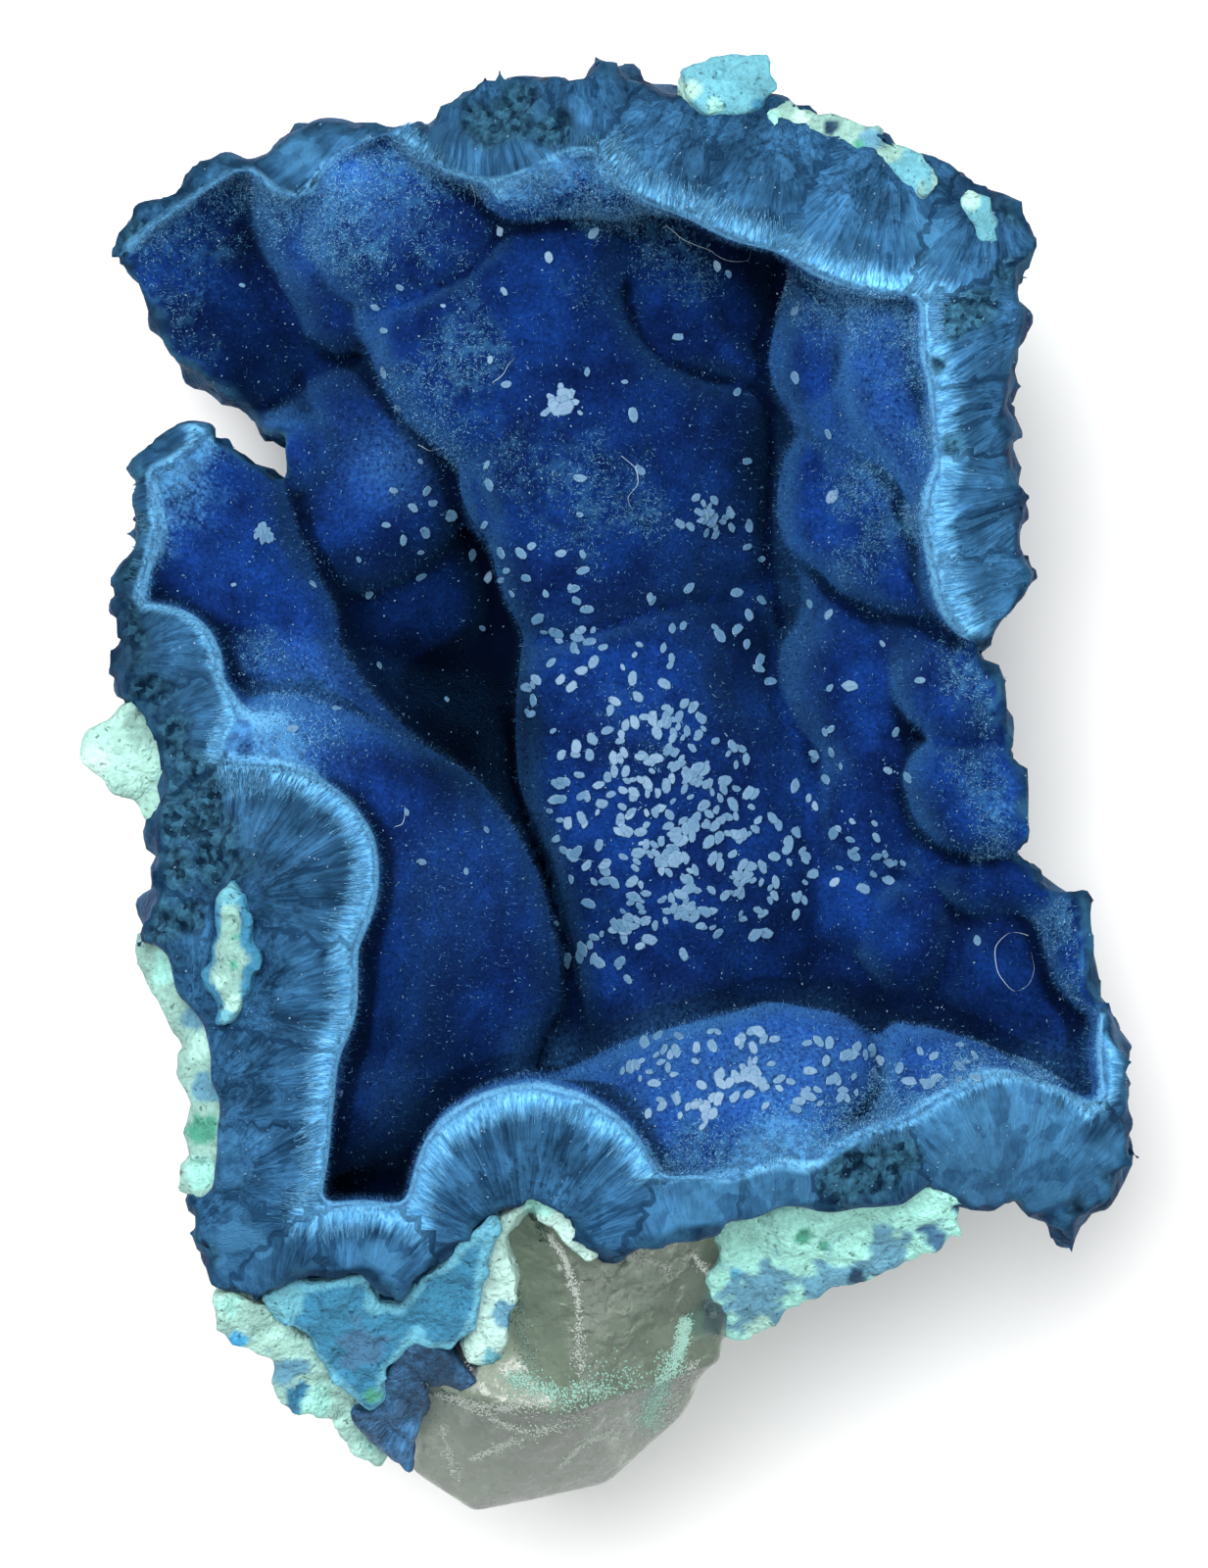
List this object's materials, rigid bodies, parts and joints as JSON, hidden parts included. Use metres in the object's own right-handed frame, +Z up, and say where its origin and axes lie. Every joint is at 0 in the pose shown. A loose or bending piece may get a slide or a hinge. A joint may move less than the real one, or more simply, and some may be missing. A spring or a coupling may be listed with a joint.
{
  "type": "shattuckite specimen",
  "caption": "Mineral specimen: a broken cup of deep-blue velvety botryoidal crust on a grey quartz crystal, with mint-green rinds, lying on its back.",
  "frame": {"origin": "on the ground, under the middle of the specimen's outline", "axes": "+Z up, out of the open hollow; +Y from the quartz end to the crust's far edge; +X to the right of one who looks down into the hollow with the quartz end nearest"},
  "size_m": [0.0436, 0.0598, 0.0293],
  "materials": {
    "shattuckite": "velvety fibrous blue crust, silky where broken",
    "quartz": "clear grey-green crystal faces with inner flaws",
    "chrysocolla": "dull sky-blue, finely rough",
    "mint": "chalky mint green",
    "pale_mint": "chalky, nearly white mint",
    "turquoise": "dull grainy turquoise",
    "grains": "waxy pale blue-white grains"
  },
  "bodies": {
    "root": {"shattuckite_crust": "shattuckite", "shattuckite_wedge": "shattuckite", "quartz_cluster": "quartz", "chrysocolla_layer": "chrysocolla", "malachite_band": "pale_mint", "mint_apron": "mint", "mint_lump_bottom": "mint", "mint_rind_left": "mint", "mint_pod_left": "mint", "mint_wing_left": "pale_mint", "mint_knob_top": "turquoise", "mint_streak_top": "pale_mint", "mint_sliver_top": "pale_mint"}
  },
  "joints": []
}
